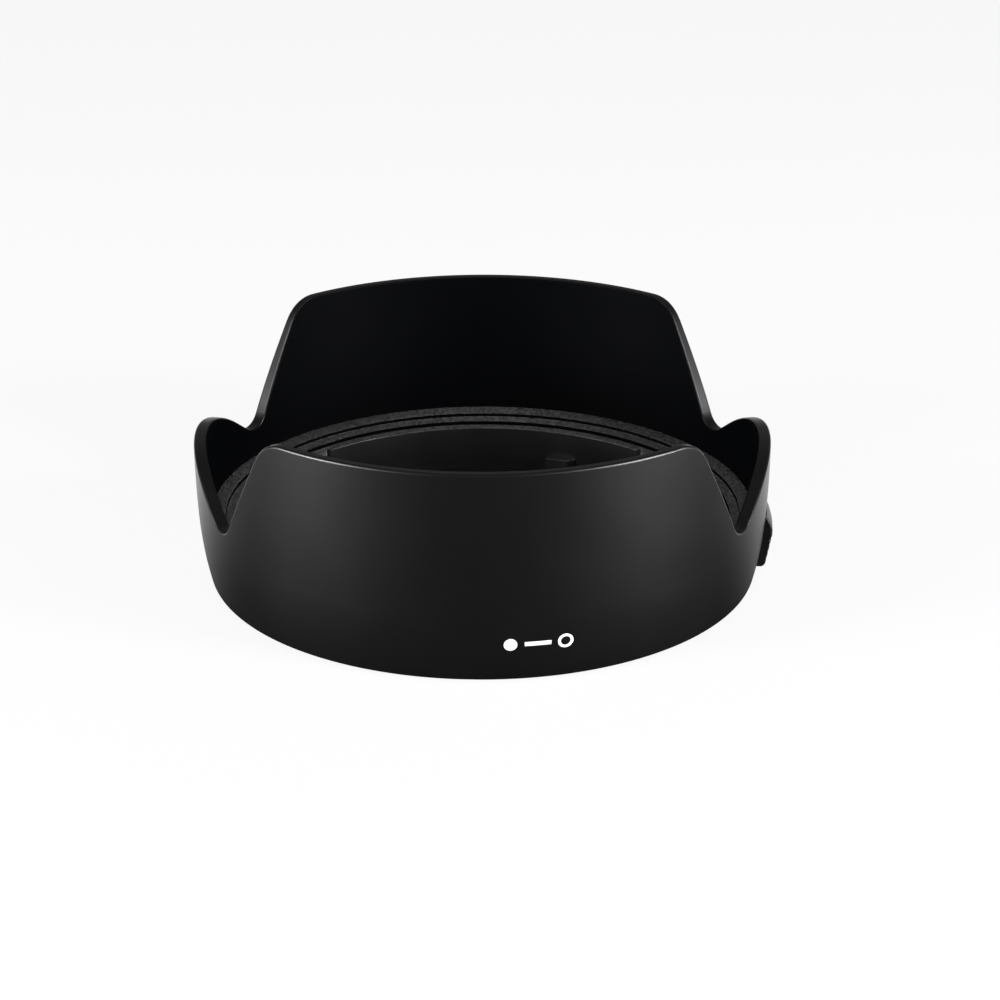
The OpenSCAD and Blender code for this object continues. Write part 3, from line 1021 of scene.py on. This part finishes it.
class HOOD_OT_stage(bpy.types.Operator):
    """Set the pale floor, the soft lights and the camera"""

    bl_idname = "lens_hood.stage"
    bl_label = "Stage"

    def execute(self, context):
        scene = bpy.context.scene
        s = settings().stage
        reach = 3.0
        floor = new_piece("floor", [(-reach, -reach, 0), (reach, -reach, 0),
                                    (reach, reach, 0), (-reach, reach, 0)], [(0, 1, 2, 3)])
        floor.data.materials.append(self.floor_material(s.floor))
        floor.location.z = -0.00002
        scene.world = self.studio_world()
        self.panel("left_panel", 0.5, -66, 0.055, (0.2, 0.11), 3.4)
        self.panel("right_panel", 0.5, 64, 0.055, (0.2, 0.11), 3.1)
        self.panel("left_high", 0.45, -60, 0.2, (0.14, 0.1), 1.6)
        self.panel("right_high", 0.45, 60, 0.2, (0.14, 0.1), 2.3)
        self.lamp("overhead", (0, 0.02, 0.55), (0.45, 0.3), 0.05)
        camera = bpy.data.cameras.new("camera")
        camera.lens = s.focal_length
        camera.sensor_width = 36
        camera.clip_start = 0.01
        camera_object = bpy.data.objects.new("camera", camera)
        camera_object.location = s.camera_place
        camera_object.rotation_euler = (math.pi / 2 - s.camera_down, 0, 0)
        scene.collection.objects.link(camera_object)
        scene.camera = camera_object
        scene.view_settings.view_transform = "Standard"
        return {"FINISHED"}

    def studio_world(self):
        """A white studio: a bright sweep behind the hood and dim walls in front of it."""
        world = bpy.data.worlds.new("soft_studio")
        world.use_nodes = True
        tree = world.node_tree
        tree.nodes.clear()
        out = node(tree, "ShaderNodeOutputWorld", (700, 0))
        seen = node(tree, "ShaderNodeBackground", (300, 150), dial={"Color": (1, 1, 1, 1)})
        lit = node(tree, "ShaderNodeBackground", (300, -100))
        place = node(tree, "ShaderNodeTexCoord", (-600, -100))
        split = node(tree, "ShaderNodeSeparateXYZ", (-400, -100))
        ramp = node(
            tree, "ShaderNodeMapRange", (-150, -100), interpolation_type="SMOOTHSTEP",
            dial={"From Min": 0.1, "From Max": 0.85, "To Min": 0.02, "To Max": 0.2})
        rays = node(tree, "ShaderNodeLightPath", (100, 400))
        blend = node(tree, "ShaderNodeMixShader", (500, 0))
        wire(
            tree,
            (place, "Generated", split, 0), (split, "Y", ramp, "Value"),
            (ramp, "Result", lit, "Strength"), (rays, "Is Camera Ray", blend, 0),
            (lit, 0, blend, 1), (seen, 0, blend, 2), (blend, 0, out, "Surface"))
        return world

    def floor_material(self, base):
        """Pale paper, seen as an even white sweep, with a painted shadow that darkens it under the
        back petal and painted shade inside the hood ring; reflections see a painted glow, dim in
        front and bright behind.
        """
        name = "pale_paper_with_painted_shade"
        tree, shader = new_material(name)
        shader.inputs["Roughness"].default_value = 0.9
        shader.inputs["Specular IOR Level"].default_value = 0.0
        glow = node(tree, "ShaderNodeEmission", (0, -200), dial={"Color": (1, 1, 1, 1)})
        rays = node(tree, "ShaderNodeLightPath", (-400, 300))
        share = node(tree, "ShaderNodeMath", (-150, 300), operation="MULTIPLY")
        place = node(tree, "ShaderNodeTexCoord", (-900, 100))
        reach = node(tree, "ShaderNodeVectorMath", (-700, 100), operation="LENGTH")
        # Painted shade: this mask is zero inside the hood ring, where the paper neither glows for
        # the camera nor shows to reflections.
        outside_painted_hood_shade = node(
            tree, "ShaderNodeMapRange", (-500, 100), interpolation_type="SMOOTHSTEP",
            dial={"From Min": 0.033, "From Max": 0.037})
        lit = node(tree, "ShaderNodeMath", (-300, 200), operation="MULTIPLY", dial={1: 0.9})
        # Painted shadow: inside the ring the camera sees the paper fade from white at the front to
        # black under the back petal.
        shade = node(
            tree, "ShaderNodeMapRange", (-700, 700), interpolation_type="SMOOTHSTEP",
            dial={"From Min": 0.012, "From Max": 0.0265, "To Min": 1.0, "To Max": 0.0})
        pale = node(tree, "ShaderNodeMath", (-450, 700), operation="MAXIMUM")
        blend = node(tree, "ShaderNodeMixShader", (250, 100))
        # Painted reflection: reflections see the floor glow, dim in front, bright behind and dark
        # inside the hood ring.
        sweep = node(tree, "ShaderNodeEmission", (0, -400))
        split = node(tree, "ShaderNodeSeparateXYZ", (-700, -400))
        behind = node(
            tree, "ShaderNodeMapRange", (-400, -400), interpolation_type="SMOOTHSTEP",
            dial={"From Min": -0.02, "From Max": 0.03, "To Min": 0.03, "To Max": 1.2})
        clear = node(tree, "ShaderNodeMath", (-200, -400), operation="MULTIPLY")
        # Painted shade: the paper's colour is near black inside the hood ring.
        paper = node(
            tree, "ShaderNodeMix", (-300, 500), data_type="RGBA",
            dial={"A": (0.01, 0.01, 0.01, 1), "B": (*base, 1)})
        glossy = node(tree, "ShaderNodeMixShader", (100, -300))
        from_below = node(tree, "ShaderNodeNewGeometry", (250, 400))
        nothing = node(tree, "ShaderNodeBsdfTransparent", (250, -100))
        one_sided = node(tree, "ShaderNodeMixShader", (450, 100))
        out = tree.nodes["Material Output"]
        wire(
            tree,
            (rays, "Is Camera Ray", share, 0), (place, "Object", reach, 0),
            (reach, "Value", outside_painted_hood_shade, "Value"), (outside_painted_hood_shade, "Result", pale, 0),
            (split, "Y", shade, "Value"), (shade, "Result", pale, 1), (pale, 0, lit, 0),
            (outside_painted_hood_shade, "Result", paper, "Factor"), (paper, "Result", shader, "Base Color"),
            (lit, 0, share, 1), (place, "Object", split, 0), (split, "Y", behind, "Value"),
            (behind, "Result", clear, 0), (outside_painted_hood_shade, "Result", clear, 1),
            (clear, 0, sweep, "Strength"), (rays, "Is Glossy Ray", glossy, "Fac"),
            (shader, 0, glossy, 1), (sweep, 0, glossy, 2), (share, 0, blend, "Fac"),
            (glossy, 0, blend, 1), (glow, 0, blend, 2),
            (from_below, "Backfacing", one_sided, "Fac"), (blend, 0, one_sided, 1),
            (nothing, 0, one_sided, 2), (one_sided, 0, out, "Surface"))
        return bpy.data.materials[name]

    def panel(self, name, distance, azimuth, height, size, power):
        """A soft upright panel, at an azimuth from -Y, that faces the middle of the hood."""
        a = math.radians(azimuth)
        place = Vector((distance * math.sin(a), -distance * math.cos(a), height))
        aim = Vector((0, 0, 0.012)) - place
        self.lamp(name, place, size, power).rotation_euler = aim.to_track_quat("-Z", "Y").to_euler()

    def lamp(self, name, place, size, power):
        """A rectangular light that faces down."""
        light = bpy.data.lights.new(name, "AREA")
        light.shape = "RECTANGLE"
        light.size, light.size_y = size
        light.energy = power
        lamp = bpy.data.objects.new(name, light)
        lamp.location = place
        bpy.context.scene.collection.objects.link(lamp)
        return lamp


class HOOD_PT_panel(bpy.types.Panel):
    """Lists the steps that build the hood"""

    bl_idname = "HOOD_PT_panel"
    bl_label = "Lens Hood"
    bl_space_type = "VIEW_3D"
    bl_region_type = "UI"
    bl_category = "Lens Hood"

    def draw(self, context):
        for operator in OPERATORS:
            self.layout.operator(operator.bl_idname)


GROUPS = (WallSettings, PetalSettings, RingSettings, ButtonSettings, FinishSettings,
          StageSettings, LensHoodSettings)
OPERATORS = (HOOD_OT_petal_wall, HOOD_OT_light_trap, HOOD_OT_mount_ring,
             HOOD_OT_release_button, HOOD_OT_latch, HOOD_OT_ring_screws,
             HOOD_OT_index_marks, HOOD_OT_stage)


def register():
    for group in GROUPS + OPERATORS + (HOOD_PT_panel,):
        bpy.utils.register_class(group)
    bpy.types.Scene.lens_hood = section(
        LensHoodSettings, "Lens hood", "Settings of the lens hood")


def unregister():
    del bpy.types.Scene.lens_hood
    for group in reversed(GROUPS + OPERATORS + (HOOD_PT_panel,)):
        bpy.utils.unregister_class(group)


def main():
    register()
    bpy.ops.lens_hood.petal_wall()
    bpy.ops.lens_hood.light_trap()
    bpy.ops.lens_hood.mount_ring()
    bpy.ops.lens_hood.release_button()
    bpy.ops.lens_hood.latch()
    bpy.ops.lens_hood.ring_screws()
    bpy.ops.lens_hood.index_marks()
    bpy.ops.lens_hood.stage()


if __name__ == "__main__":
    main()
